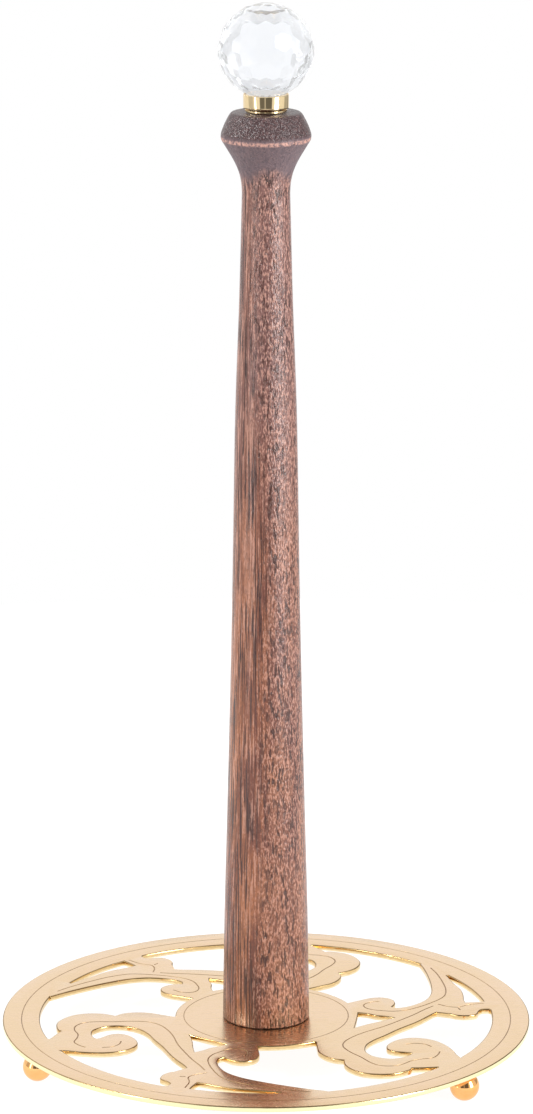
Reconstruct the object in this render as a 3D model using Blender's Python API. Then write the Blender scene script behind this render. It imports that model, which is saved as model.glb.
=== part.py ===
"""Paper towel holder: pierced brass base on ball feet, turned wooden post, crystal ball finial.

Metres, +Z up. The origin is on the post's axis, on the surface that the feet stand on.
Every piece is a solid of its own, and neighbours keep GAP between them.
"""
import math

import bmesh
import bpy
from mathutils import Matrix, Vector

MM = 0.001
GAP = 0.3 * MM                     # clearance between touching pieces

# Base plate
PLATE_RADIUS = 89.0 * MM
PLATE_THICKNESS = 1.7 * MM
PLATE_BOTTOM = 9.8 * MM            # the ball feet hold it this far up
PLATE_TOP = PLATE_BOTTOM + PLATE_THICKNESS
RIM_INNER_RADIUS = 76.4 * MM
HUB_RADIUS = 30.7 * MM
SCROLL_REPEATS = 3
OUTLINE_STEP = 1.3 * MM            # chord length along the cut outlines
PLATE_SIDES = 120

# Ball feet, under the rim
FOOT_RADIUS = 4.9 * MM
FOOT_CENTRE_HEIGHT = 4.65 * MM     # a little less than the radius leaves a small flat below
FOOT_CIRCLE_RADIUS = 82.3 * MM
FOOT_ANGLES = {"right": -37.5, "back": 82.5, "left": 202.5}
FOOT_SPIGOT_RADIUS = 1.7 * MM
FOOT_SPIGOT_RISE = 0.6 * MM        # into the recess in the plate's underside
FOOT_SIDES = 24
FOOT_RINGS = 12
SPIGOT_SIDES = 12

# Fasteners on the axis, all M6
SCREW_RADIUS = 3.0 * MM
SCREW_HOLE_RADIUS = SCREW_RADIUS + GAP
SCREW_HEAD_RADIUS = 5.5 * MM
SCREW_HEAD_BOTTOM = 2.8 * MM
SCREW_HEAD_HEIGHT = 3.5 * MM
SCREW_TIP_HEIGHT = 34.0 * MM
SOCKET_RADIUS = 2.2 * MM
SOCKET_DEPTH = 2.0 * MM
THREAD_CHAMFER = 0.7 * MM
SCREW_SIDES = 24
WASHER_SIDES = 32
LOCK_WASHER_RADIUS = 5.4 * MM
LOCK_WASHER_THICKNESS = 1.4 * MM
LOCK_WASHER_SPLIT = 0.8 * MM
FLAT_WASHER_RADIUS = 6.2 * MM
FLAT_WASHER_THICKNESS = 1.2 * MM

# Turned post
POST_BOTTOM = PLATE_TOP + GAP
POST_TOP = 319.9 * MM
POST_SIDES = 56
TAPER_STEP = 16.0 * MM             # chord length down the long taper
INSERT_RADIUS = 4.6 * MM
INSERT_FLANGE_RADIUS = 6.0 * MM
INSERT_FLANGE_THICKNESS = 1.0 * MM
BOTTOM_INSERT_LENGTH = 18.0 * MM
TOP_INSERT_LENGTH = 14.0 * MM
BORE_SPARE_DEPTH = 5.0 * MM        # drilled past the insert, for the thread's end

# Finial
SEAT_WASHER_RADIUS = 6.9 * MM
SEAT_WASHER_THICKNESS = 0.8 * MM
FERRULE_RADIUS = 7.45 * MM
FERRULE_LIP_WIDTH = 0.35 * MM
FERRULE_CHAMFER = 0.3 * MM
FERRULE_SIDES = 48
BALL_RADIUS = 15.5 * MM
BALL_CENTRE_HEIGHT = 339.9 * MM
BALL_FACETS_AROUND = 16
BALL_FACET_ROWS = 9                # rows of facets between the two poles
STUD_LENGTH = 16.0 * MM
STUD_INTO_FERRULE = 1.8 * MM

# The stacks on the axis, worked out from the sizes above
LOCK_WASHER_BOTTOM = SCREW_HEAD_BOTTOM + SCREW_HEAD_HEIGHT + GAP
FLAT_WASHER_BOTTOM = LOCK_WASHER_BOTTOM + LOCK_WASHER_THICKNESS + GAP
SEAT_WASHER_BOTTOM = POST_TOP + GAP
FERRULE_BOTTOM = SEAT_WASHER_BOTTOM + SEAT_WASHER_THICKNESS + GAP
STUD_TOP = FERRULE_BOTTOM + STUD_INTO_FERRULE


# ---------------------------------------------------------------- outlines

def arc(radius, start, end, step=OUTLINE_STEP):
    """Points on a circle about the post's axis, angles in degrees, both ends included."""
    sweep = math.radians(end - start)
    count = max(1, round(abs(sweep) * radius / step))
    angles = [math.radians(start) + sweep * i / count for i in range(count + 1)]
    return [Vector((radius * math.cos(a), radius * math.sin(a))) for a in angles]


def curve(*stations, step=OUTLINE_STEP):
    """A smooth line in millimetres through its stations, cut into chords of about step."""
    points = [Vector(s) * MM for s in stations]
    ends = [2 * points[0] - points[1]] + points + [2 * points[-1] - points[-2]]
    line = [points[0]]
    for before, a, b, after in zip(ends, ends[1:], ends[2:], ends[3:]):
        count = max(1, round((b - a).length / step))
        for i in range(1, count + 1):
            line.append(centripetal(before, a, b, after, i / count))
    return line


def centripetal(p0, p1, p2, p3, t):
    """The point at t between p1 and p2 of a centripetal Catmull-Rom curve."""
    k0 = 0.0
    k1 = k0 + math.sqrt((p1 - p0).length)
    k2 = k1 + math.sqrt((p2 - p1).length)
    k3 = k2 + math.sqrt((p3 - p2).length)
    k = k1 + (k2 - k1) * t
    a1 = p0 * ((k1 - k) / (k1 - k0)) + p1 * ((k - k0) / (k1 - k0))
    a2 = p1 * ((k2 - k) / (k2 - k1)) + p2 * ((k - k1) / (k2 - k1))
    a3 = p2 * ((k3 - k) / (k3 - k2)) + p3 * ((k - k2) / (k3 - k2))
    b1 = a1 * ((k2 - k) / (k2 - k0)) + a2 * ((k - k0) / (k2 - k0))
    b2 = a2 * ((k3 - k) / (k3 - k1)) + a3 * ((k - k1) / (k3 - k1))
    return b1 * ((k2 - k) / (k2 - k1)) + b2 * ((k - k1) / (k2 - k1))


def joined(*runs):
    """Joins runs end to end into one outline, dropping the points that they share."""
    outline = []
    for run in runs:
        for point in run:
            if not outline or (point - outline[-1]).length > GAP:
                outline.append(point)
    if (outline[0] - outline[-1]).length <= GAP:
        outline.pop()
    return outline


def curl_gap():
    """The cut between the rim, the leaf and the big curl."""
    return joined(
        arc(RIM_INNER_RADIUS, 4.2, -32.2),
        curve((64.4, -41.5), (63.3, -39.0), (62.1, -34.5), (59.6, -29.0), (55.9, -24.6), (51.4, -22.4),
              (46.4, -22.6), (42.5, -25.6), (40.1, -30.2), (40.5, -34.0), (43.0, -35.9), (46.0, -36.6),
              (48.2, -37.4), (46.4, -40.4), (42.1, -42.6), (38.6, -42.0), (35.2, -39.8), (33.2, -36.0),
              (33.0, -32.5), (33.7, -29.0), (36.0, -24.8), (39.5, -20.6), (44.3, -14.2), (51.4, -5.9),
              (56.6, 1.8), (57.8, 3.2)),
        curve((57.8, 3.2), (60.5, 2.3), (62.7, 1.5)),
        curve((62.7, 1.5), (64.0, 0.5), (67.7, -0.2), (71.2, 1.2), (72.0, 3.8), (73.2, 6.2), (75.6, 6.5)))


def bay():
    """The large cut between the hub, the arm's two lobes, the rim and the next branch."""
    return joined(
        curve((16.6, -26.8), (16.9, -31.5), (17.5, -36.5), (19.9, -40.8), (22.7, -43.2), (25.6, -44.0)),
        curve((25.6, -44.0), (25.9, -48.5), (28.0, -53.0), (31.8, -56.4), (36.6, -57.7), (41.3, -57.4),
              (45.2, -55.3), (47.7, -52.9), (48.0, -51.7)),
        curve((48.0, -51.7), (51.5, -51.5), (56.4, -50.9)),
        arc(RIM_INNER_RADIUS, -42.4, -74.8),
        curve((20.0, -73.4), (15.0, -71.8), (8.6, -69.3), (-0.7, -65.0), (-7.9, -60.7), (-12.9, -55.7),
              (-15.4, -50.0), (-16.0, -45.5), (-15.4, -42.4), (-13.8, -41.4)),
        curve((-13.8, -41.4), (-12.6, -43.0), (-10.7, -44.7), (-7.1, -45.6), (-3.8, -43.8), (-2.2, -40.0),
              (-2.4, -35.0), (-2.7, -30.6)),
        arc(HUB_RADIUS, -95.0, -58.2))


def leaf_sliver():
    """The narrow pointed cut between the leaf and the rim."""
    return joined(
        arc(RIM_INNER_RADIUS - 0.8 * MM, 33.5, 11.0),
        curve((74.2, 14.4), (71.5, 13.9), (68.0, 13.5)),
        curve((68.0, 13.5), (67.6, 16.0), (67.6, 21.0), (67.0, 26.4), (64.8, 33.2), (62.5, 41.6)))


def hub_sliver():
    """The small three-cornered cut beside the hub."""
    return joined(
        curve((31.3, 2.9), (34.3, 1.9), (37.2, 0.0), (40.5, -0.9), (43.2, -2.3)),
        curve((43.2, -2.3), (39.3, -5.2), (34.4, -8.4), (29.8, -12.2)),
        curve((29.8, -12.2), (30.5, -6.0), (31.3, 2.9)))


def turn_outline(outline, degrees):
    turn = Matrix.Rotation(math.radians(degrees), 2)
    return [turn @ point for point in outline]


def scroll_cuts():
    """All the cuts of the scroll work, one set for each repeat."""
    unit = [curl_gap(), bay(), leaf_sliver(), hub_sliver()]
    repeats = range(SCROLL_REPEATS)
    return [turn_outline(cut, 360.0 / SCROLL_REPEATS * k) for k in repeats for cut in unit]


# ---------------------------------------------------------------- making pieces

def clear_scene():
    for item in list(bpy.data.objects):
        bpy.data.objects.remove(item, do_unlink=True)


def finish_named(name, colour, metallic, roughness, **extra):
    """One Principled material."""
    material = bpy.data.materials.new(name)
    material.use_nodes = True
    shader = material.node_tree.nodes["Principled BSDF"]
    shader.inputs["Base Color"].default_value = (*colour, 1.0)
    shader.inputs["Metallic"].default_value = metallic
    shader.inputs["Roughness"].default_value = roughness
    for socket, value in extra.items():
        shader.inputs[socket.replace("_", " ")].default_value = value
    return material


def place(name, mesh, material, parent=None):
    mesh.materials.append(material)
    piece = bpy.data.objects.new(name, mesh)
    bpy.context.scene.collection.objects.link(piece)
    piece.parent = parent
    return piece


def mesh_from(bm, name):
    bmesh.ops.remove_doubles(bm, verts=bm.verts, dist=0.001 * MM)
    bmesh.ops.recalc_face_normals(bm, faces=bm.faces)
    mesh = bpy.data.meshes.new(name)
    bm.to_mesh(mesh)
    bm.free()
    mesh.shade_smooth()
    mesh.set_sharp_from_angle(angle=math.radians(35.0))
    return mesh


def turned(name, profile, sides):
    """A solid of revolution about Z from a closed profile of (radius, height) points."""
    bm = bmesh.new()
    points = [bm.verts.new((radius, 0.0, height)) for radius, height in profile]
    edges = [bm.edges.new(pair) for pair in zip(points, points[1:] + points[:1])
             if pair[0].co.x > 0.0 or pair[1].co.x > 0.0]
    bmesh.ops.spin(bm, geom=points + edges, cent=(0, 0, 0), axis=(0, 0, 1),
                   angle=2.0 * math.pi, steps=sides, use_duplicate=False)
    return mesh_from(bm, name)


def cutter(name, mesh, target):
    """Takes mesh out of target with a Boolean that stays on it."""
    tool = bpy.data.objects.new(name, mesh)
    bpy.context.scene.collection.objects.link(tool)
    tool.hide_render = True
    tool.display_type = 'WIRE'
    cut = target.modifiers.new(name, 'BOOLEAN')
    cut.operation = 'DIFFERENCE'
    cut.object = tool
    return tool


def cylinder(name, radius, bottom, top, sides):
    bm = bmesh.new()
    middle = Matrix.Translation((0, 0, (bottom + top) / 2))
    bmesh.ops.create_cone(bm, cap_ends=True, segments=sides, radius1=radius, radius2=radius,
                          depth=top - bottom, matrix=middle)
    return mesh_from(bm, name)


# ---------------------------------------------------------------- base

def make_base_plate(brass):
    """The plate is one pierced face drawn flat, then extruded to its thickness."""
    bm = bmesh.new()
    rim = arc(PLATE_RADIUS, 0.0, 360.0, 2.0 * math.pi * PLATE_RADIUS / PLATE_SIDES)[:-1]
    hole = arc(SCREW_HOLE_RADIUS, 0.0, 360.0, OUTLINE_STEP / 2)[:-1]
    for outline in [rim, hole] + scroll_cuts():
        points = [bm.verts.new((p.x, p.y, PLATE_BOTTOM)) for p in outline]
        for pair in zip(points, points[1:] + points[:1]):
            bm.edges.new(pair)
    bmesh.ops.triangle_fill(bm, edges=bm.edges, use_beauty=True)
    raised = bmesh.ops.extrude_face_region(bm, geom=bm.faces[:])["geom"]
    upper = [item for item in raised if isinstance(item, bmesh.types.BMVert)]
    bmesh.ops.translate(bm, verts=upper, vec=(0, 0, PLATE_THICKNESS))
    plate = place("base_plate", mesh_from(bm, "base_plate"), brass)
    recess_top = PLATE_BOTTOM + FOOT_SPIGOT_RISE + GAP
    recess_bottom = PLATE_BOTTOM - PLATE_THICKNESS
    recess = cylinder("foot_recess", FOOT_SPIGOT_RADIUS + GAP, recess_bottom, recess_top, SPIGOT_SIDES)
    for side, angle in FOOT_ANGLES.items():
        tool = cutter("recess_" + side, recess, plate)
        tool.location = foot_place(angle)


def foot_place(angle):
    a = math.radians(angle)
    return Vector((FOOT_CIRCLE_RADIUS * math.cos(a), FOOT_CIRCLE_RADIUS * math.sin(a), 0.0))


def make_feet(gold):
    """Ball feet with a small flat below and a spigot above that is brazed into the plate."""
    lowest = -math.acos(FOOT_CENTRE_HEIGHT / FOOT_RADIUS)
    highest = -math.pi + math.asin(FOOT_SPIGOT_RADIUS / FOOT_RADIUS)
    profile = [(0.0, 0.0)]
    for i in range(FOOT_RINGS + 1):
        a = lowest + (highest - lowest) * i / FOOT_RINGS
        height = FOOT_CENTRE_HEIGHT - FOOT_RADIUS * math.cos(a)
        profile.append((-FOOT_RADIUS * math.sin(a), max(0.0, height)))
    spigot_top = PLATE_BOTTOM + FOOT_SPIGOT_RISE
    profile += [(FOOT_SPIGOT_RADIUS, spigot_top), (0.0, spigot_top)]
    mesh = turned("ball_foot", profile, FOOT_SIDES)
    for side, angle in FOOT_ANGLES.items():
        foot = place("ball_foot_" + side, mesh.copy(), gold)
        foot.location = foot_place(angle)


# ---------------------------------------------------------------- fasteners

def make_base_screw(steel):
    """Button head with a six-sided socket, and a plain shank at the thread's outer size."""
    bottom = SCREW_HEAD_BOTTOM
    shoulder = bottom + SCREW_HEAD_HEIGHT
    point = SCREW_TIP_HEIGHT
    profile = [(0.0, bottom), (SCREW_HEAD_RADIUS * 0.55, bottom),
               (SCREW_HEAD_RADIUS * 0.85, bottom + SCREW_HEAD_HEIGHT * 0.35),
               (SCREW_HEAD_RADIUS, bottom + SCREW_HEAD_HEIGHT * 0.8), (SCREW_HEAD_RADIUS, shoulder),
               (SCREW_RADIUS, shoulder), (SCREW_RADIUS, point - THREAD_CHAMFER),
               (SCREW_RADIUS - THREAD_CHAMFER, point), (0.0, point)]
    screw = place("base_screw", turned("base_screw", profile, SCREW_SIDES), steel)
    socket = cylinder("screw_socket", SOCKET_RADIUS, bottom - MM, bottom + SOCKET_DEPTH, sides=6)
    cutter("screw_socket", socket, screw)


def washer_mesh(name, radius, bottom, thickness):
    inner = SCREW_HOLE_RADIUS
    top = bottom + thickness
    profile = [(inner, bottom), (radius, bottom), (radius, top), (inner, top)]
    return turned(name, profile, WASHER_SIDES)


def make_washers(steel):
    ring = washer_mesh("base_lock_washer", LOCK_WASHER_RADIUS, LOCK_WASHER_BOTTOM,
                       LOCK_WASHER_THICKNESS)
    lock_washer = place("base_lock_washer", ring, steel)
    bm = bmesh.new()
    bmesh.ops.create_cube(bm, size=1.0)
    reach = 1.5 * LOCK_WASHER_RADIUS
    bmesh.ops.scale(bm, verts=bm.verts, vec=(LOCK_WASHER_SPLIT, reach, reach))
    split = cutter("washer_split", mesh_from(bm, "washer_split"), lock_washer)
    split.location = (0.0, LOCK_WASHER_RADIUS, LOCK_WASHER_BOTTOM)
    flat = washer_mesh("base_flat_washer", FLAT_WASHER_RADIUS, FLAT_WASHER_BOTTOM,
                       FLAT_WASHER_THICKNESS)
    place("base_flat_washer", flat, steel)


def insert_mesh(name, face, length):
    """A threaded insert whose flange lies at height face; a negative length runs down."""
    flange = math.copysign(INSERT_FLANGE_THICKNESS, length)
    profile = [(SCREW_HOLE_RADIUS, face), (INSERT_FLANGE_RADIUS, face),
               (INSERT_FLANGE_RADIUS, face + flange), (INSERT_RADIUS, face + flange),
               (INSERT_RADIUS, face + length), (SCREW_HOLE_RADIUS, face + length)]
    return turned(name, profile, WASHER_SIDES)


def make_inserts(brass):
    bottom = insert_mesh("post_bottom_insert", POST_BOTTOM + GAP, BOTTOM_INSERT_LENGTH)
    place("post_bottom_insert", bottom, brass)
    top = insert_mesh("post_top_insert", POST_TOP - GAP, -TOP_INSERT_LENGTH)
    place("post_top_insert", top, brass)


# ---------------------------------------------------------------- post

def post_side():
    """The post's outer side, as (radius, height above the plate's top), foot to top.

    A long taper runs in to the neck, a cove sweeps out from there to the collar's widest edge,
    and a nearly straight bevel closes in to the top.
    """
    taper = curve((14.6, 0.3), (14.0, 36.5), (12.95, 74.4), (11.25, 145.0), (10.1, 210.0), (8.8, 246.0),
                  (7.85, 282.0), step=TAPER_STEP)
    cove = curve((7.85, 282.0), (8.05, 285.0), (8.6, 288.0), (9.6, 290.8), (11.0, 293.6), (12.5, 296.1),
                 (13.9, 298.4), step=2 * OUTLINE_STEP)
    bead = curve((13.9, 298.4), (14.5, 299.4), (14.72, 300.6), (14.5, 301.9), (13.6, 304.3), (12.5, 306.5),
                 (11.8, 307.7), (11.2, 308.25), (10.5, 308.4))
    side = joined(taper, cove, bead)
    return [(point.x, point.y) for point in side]


def make_post(wood):
    side = [(radius, PLATE_TOP + height) for radius, height in post_side()]
    bore = INSERT_RADIUS + GAP
    recess = INSERT_FLANGE_RADIUS + GAP
    shoulder = INSERT_FLANGE_THICKNESS + 2 * GAP
    lower = POST_BOTTOM + BOTTOM_INSERT_LENGTH + BORE_SPARE_DEPTH
    upper = POST_TOP - TOP_INSERT_LENGTH - BORE_SPARE_DEPTH
    profile = [(0.0, lower), (bore, lower), (bore, POST_BOTTOM + shoulder),
               (recess, POST_BOTTOM + shoulder), (recess, POST_BOTTOM)]
    profile += side
    profile += [(recess, POST_TOP), (recess, POST_TOP - shoulder), (bore, POST_TOP - shoulder),
                (bore, upper), (0.0, upper)]
    place("turned_post", turned("turned_post", profile, POST_SIDES), wood)


# ---------------------------------------------------------------- finial

def make_seat_washer(gold):
    mesh = washer_mesh("finial_seat_washer", SEAT_WASHER_RADIUS, SEAT_WASHER_BOTTOM,
                       SEAT_WASHER_THICKNESS)
    place("finial_seat_washer", mesh, gold)


def ball_underside(radius):
    """Height of the ball's lower surface at a distance from the axis."""
    return BALL_CENTRE_HEIGHT - math.sqrt(BALL_RADIUS ** 2 - radius ** 2)


def make_ferrule(gold, finial):
    """A short cup: dished on top to the ball's curve, bored from below for the stud."""
    lip = FERRULE_RADIUS - FERRULE_LIP_WIDTH
    seat = [(r * MM, ball_underside(r * MM) - GAP) for r in (0.0, 2.5, 4.5, 6.0)]
    lip_height = ball_underside(lip) - GAP
    bore = SCREW_HOLE_RADIUS
    bore_top = STUD_TOP + GAP
    profile = [(0.0, bore_top), (bore, bore_top), (bore, FERRULE_BOTTOM),
               (FERRULE_RADIUS - FERRULE_CHAMFER, FERRULE_BOTTOM),
               (FERRULE_RADIUS, FERRULE_BOTTOM + FERRULE_CHAMFER),
               (FERRULE_RADIUS, lip_height - FERRULE_CHAMFER), (lip, lip_height)]
    profile += seat[::-1]
    place("finial_ferrule", turned("finial_ferrule", profile, FERRULE_SIDES), gold, finial)


def make_stud(steel, finial):
    bottom = STUD_TOP - STUD_LENGTH
    profile = [(0.0, bottom), (SCREW_RADIUS - THREAD_CHAMFER, bottom),
               (SCREW_RADIUS, bottom + THREAD_CHAMFER), (SCREW_RADIUS, STUD_TOP), (0.0, STUD_TOP)]
    place("finial_stud", turned("finial_stud", profile, SCREW_SIDES), steel, finial)


def make_crystal_ball(crystal, finial):
    """A ball ground with flat facets in staggered rows, as a cutter grinds them."""
    bm = bmesh.new()
    bmesh.ops.create_cube(bm, size=4 * BALL_RADIUS)
    around = math.pi / BALL_FACETS_AROUND
    row_angle = math.pi / (BALL_FACET_ROWS + 1)
    flats = [Vector((0, 0, 1)), Vector((0, 0, -1))]
    for row in range(1, BALL_FACET_ROWS + 1):
        tilt = row_angle * row
        at_pole = row in (1, BALL_FACET_ROWS)
        count = BALL_FACETS_AROUND // 2 if at_pole else BALL_FACETS_AROUND
        for k in range(count):
            turn = 2.0 * math.pi * k / count + around * (row % 2)
            flats.append(Vector((math.sin(tilt) * math.cos(turn), math.sin(tilt) * math.sin(turn),
                                 math.cos(tilt))))
    inner = BALL_RADIUS * math.cos(around)
    for flat in flats:
        geometry = bm.verts[:] + bm.edges[:] + bm.faces[:]
        cut = bmesh.ops.bisect_plane(bm, geom=geometry, dist=0.001 * MM, plane_co=flat * inner,
                                     plane_no=flat, clear_outer=True)["geom_cut"]
        rim = [item for item in cut if isinstance(item, bmesh.types.BMEdge)]
        bmesh.ops.holes_fill(bm, edges=rim)
    bmesh.ops.translate(bm, verts=bm.verts, vec=(0, 0, BALL_CENTRE_HEIGHT))
    mesh = mesh_from(bm, "crystal_ball")
    mesh.shade_flat()
    place("crystal_ball", mesh, crystal, finial)


def build():
    clear_scene()
    brass = finish_named("satin_brass", (0.85, 0.66, 0.40), 1.0, 0.30)
    gold = finish_named("polished_brass", (0.90, 0.68, 0.32), 1.0, 0.10)
    steel = finish_named("zinc_steel", (0.60, 0.61, 0.63), 1.0, 0.35)
    wood = finish_named("lacquered_walnut", (0.16, 0.05, 0.03), 0.0, 0.28, Coat_Weight=0.5)
    crystal = finish_named("crystal", (0.97, 0.98, 1.0), 0.0, 0.0, Transmission_Weight=1.0)
    finial = bpy.data.objects.new("finial", None)
    bpy.context.scene.collection.objects.link(finial)
    make_base_plate(brass)
    make_feet(gold)
    make_base_screw(steel)
    make_washers(steel)
    make_inserts(brass)
    make_post(wood)
    make_seat_washer(gold)
    make_ferrule(gold, finial)
    make_stud(steel, finial)
    make_crystal_ball(crystal, finial)


build()
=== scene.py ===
"""Looks of a paper towel holder: brass scroll plate, turned wooden post, crystal ball finial.

Metres, +Z up. The post's axis is the Z axis, and the feet stand on z = 0.
"""
import math

import bpy
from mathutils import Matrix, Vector


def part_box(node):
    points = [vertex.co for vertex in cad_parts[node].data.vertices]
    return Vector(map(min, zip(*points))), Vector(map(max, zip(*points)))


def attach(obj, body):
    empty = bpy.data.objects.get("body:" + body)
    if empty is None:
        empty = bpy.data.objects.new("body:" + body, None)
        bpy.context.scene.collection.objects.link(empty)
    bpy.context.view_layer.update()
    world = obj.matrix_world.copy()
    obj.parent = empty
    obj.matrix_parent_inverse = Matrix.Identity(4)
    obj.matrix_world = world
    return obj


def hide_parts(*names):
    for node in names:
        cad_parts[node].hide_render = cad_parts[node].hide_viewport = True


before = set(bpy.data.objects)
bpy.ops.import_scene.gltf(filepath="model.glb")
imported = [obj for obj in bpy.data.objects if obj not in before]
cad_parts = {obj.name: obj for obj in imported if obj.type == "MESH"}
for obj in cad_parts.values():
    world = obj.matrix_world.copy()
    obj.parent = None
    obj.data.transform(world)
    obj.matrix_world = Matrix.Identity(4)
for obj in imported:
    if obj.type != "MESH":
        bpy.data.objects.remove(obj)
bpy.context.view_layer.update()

MM = 0.001
WELD = 0.001 * MM                  # vertices closer than this are one
FULL_TURN = 2.0 * math.pi

# Levels and sizes taken from the frame
PLATE_BOTTOM, PLATE_TOP = (corner.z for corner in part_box("base_plate"))
PLATE_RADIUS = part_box("base_plate")[1].x
POST_BOTTOM, POST_TOP = (corner.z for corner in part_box("turned_post"))
SCREW_BOTTOM, SCREW_TOP = (corner.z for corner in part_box("base_screw"))
STUD_BOTTOM, STUD_TOP = (corner.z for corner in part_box("finial_stud"))
FERRULE_BOTTOM, FERRULE_TOP = (corner.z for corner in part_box("finial_ferrule"))
FERRULE_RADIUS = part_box("finial_ferrule")[1].x

# Scroll work
SCROLL_REPEATS = 3
EDGE_ROUNDING = 0.35 * MM
RIM_MARGIN = 0.1 * MM              # an edge this close to the plate's radius is on its rim
WALL_STEEPNESS = 0.5               # a face whose normal rises less than this is a wall
FACE_FLATNESS = 0.98               # one whose normal rises more than this is a broad face
GROOVE_WIDTH = 0.50 * MM
RING_GROOVE_WIDTH = 0.36 * MM
GROOVE_TOOL_RADIUS = 0.28 * MM
GROOVE_STEP = 1.2 * MM
HUB_GROOVE_RADIUS = 27.8 * MM
RIM_GROOVE_RADIUS = 82.6 * MM

# M6 thread
PITCH = 1.0 * MM
THREAD_RADIUS = 3.0 * MM
THREAD_DEPTH = 0.54 * MM
THREAD_SIDES = 32
THREAD_CHAMFER = 0.6 * MM
THREAD_PLAY = 0.12 * MM            # between a screw's thread and the thread that it runs in
HOLE_PLAY = 0.3 * MM               # between a fastener and the plain hole around it

# Threaded inserts
INSERT_RADIUS = 4.6 * MM
INSERT_FLANGE_THICKNESS = 1.0 * MM
KNURL_DEPTH = 0.35 * MM

# Post and finial
POST_SIDES = 128
ROUND_SIDES = 96
BALL_RADIUS = 15.5 * MM
BALL_SEAT_GAP = 0.3 * MM           # clearance between the ball and its dish

# The wood's colour with its painted sheen, highlight and shade, as heights above the plate
TAPER_SHEEN = (100.0 * MM, 240.0 * MM)    # a painted grey sheen greys and darkens the taper between these
COLLAR_SHEEN = (285.0 * MM, 292.5 * MM)   # the painted grey sheen under the collar sets in between these
COLLAR_EDGE = 299.9 * MM           # a pale painted highlight runs round the collar's ridge here
CAP = (300.5 * MM, 302.0 * MM)     # the painted shade on the collar's top begins between these

# Camera and lights
CAMERA_PLACE = (0.00015, -1.628, 0.58383)
CAMERA_TILT = math.radians(90.0 - 14.215)
CAMERA_LENS = 164.2
LOW_ON_POST = (0.0, 0.0, 0.12)
COLLAR = (0.0, 0.0, PLATE_TOP + 0.30)


# ---------------------------------------------------------------- modelling by hand

def only(*pieces):
    """Selects these pieces and nothing else; the last one is the active one."""
    bpy.ops.object.select_all(action='DESELECT')
    for piece in pieces:
        piece.select_set(True)
        bpy.context.view_layer.objects.active = piece


def added(name):
    """The object that the last operator added, under its own name."""
    piece = bpy.context.object
    piece.name = name
    piece.data.name = name
    return piece


def settle(piece):
    """Puts the piece's place, turn and scale into its mesh."""
    only(piece)
    bpy.ops.object.transform_apply(location=True, rotation=True, scale=True)
    return piece


def open_mesh(piece, action='SELECT', kind='VERT'):
    """Opens the piece in edit mode, with all or none of its mesh selected."""
    only(piece)
    bpy.ops.object.mode_set(mode='EDIT')
    bpy.ops.mesh.select_mode(type=kind)
    bpy.ops.mesh.select_all(action=action)


def close_mesh():
    bpy.ops.object.mode_set(mode='OBJECT')


def weld(piece):
    """Merges doubled vertices and turns every face outwards."""
    open_mesh(piece)
    bpy.ops.mesh.remove_doubles(threshold=WELD)
    bpy.ops.mesh.normals_make_consistent(inside=False)
    close_mesh()
    return piece


def pick_vertices(piece, wanted):
    """Opens the mesh with exactly the vertices selected whose place is wanted."""
    open_mesh(piece, 'DESELECT')
    close_mesh()
    for vertex in piece.data.vertices:
        vertex.select = wanted(vertex.co)
    bpy.ops.object.mode_set(mode='EDIT')


def pick_edges(piece, wanted):
    """Opens the mesh with exactly the wanted edges selected."""
    open_mesh(piece, 'DESELECT', 'EDGE')
    close_mesh()
    for edge in piece.data.edges:
        edge.select = wanted(edge)
    bpy.ops.object.mode_set(mode='EDIT')


def pick_faces(piece, wanted):
    """Opens the mesh with exactly the faces selected whose normal is wanted."""
    open_mesh(piece, 'DESELECT', 'FACE')
    close_mesh()
    for face in piece.data.polygons:
        face.select = wanted(face.normal)
    bpy.ops.object.mode_set(mode='EDIT')


def modify(piece, kind, **settings):
    """Adds a modifier, sets it up and applies it."""
    only(piece)
    bpy.ops.object.modifier_add(type=kind)
    modifier = piece.modifiers[-1]
    for name, value in settings.items():
        setattr(modifier, name, value)
    bpy.ops.object.modifier_apply(modifier=modifier.name)
    return piece


def boolean(piece, tool, operation='DIFFERENCE', **settings):
    """Cuts the piece with the tool, which is then thrown away."""
    modify(piece, 'BOOLEAN', object=tool, operation=operation, solver='EXACT', **settings)
    bpy.data.objects.remove(tool)
    return piece


def shade(piece, degrees=30.0):
    """Shades the piece smooth, and leaves edges sharper than this angle crisp."""
    only(piece)
    bpy.ops.object.shade_smooth_by_angle(angle=math.radians(degrees))
    return piece


def paint(piece, *finishes):
    """Gives the piece these materials, and all its faces the first of them."""
    piece.data.materials.clear()
    for finish in finishes:
        piece.data.materials.append(finish)


def paint_faces(piece, slot, wanted):
    """Gives the faces whose normal is wanted the material in this slot."""
    pick_faces(piece, wanted)
    piece.active_material_index = slot
    bpy.ops.object.material_slot_assign()
    close_mesh()


def draw_line(name, points):
    """A chain of edges through points, drawn from one vertex."""
    bpy.ops.object.select_all(action='DESELECT')
    bpy.ops.mesh.primitive_plane_add(size=MM, location=points[0])
    line = settle(added(name))
    open_mesh(line)
    bpy.ops.mesh.merge(type='CENTER')
    for before, after in zip(points, points[1:]):
        step = Vector(after) - Vector(before)
        bpy.ops.mesh.extrude_region_move(TRANSFORM_OT_translate={"value": step})
    close_mesh()
    return line


def turn(name, profile, sides=ROUND_SIDES):
    """Turns a line of (radius, height) points about the post's axis."""
    piece = draw_line(name, [(radius, 0.0, height) for radius, height in profile])
    open_mesh(piece)
    bpy.ops.mesh.spin(steps=sides, angle=FULL_TURN, center=(0.0, 0.0, 0.0), axis=(0.0, 0.0, 1.0))
    close_mesh()
    return weld(piece)


def ring(profile):
    """Closes a profile into a ring's section."""
    return [*profile, profile[0]]


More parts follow.
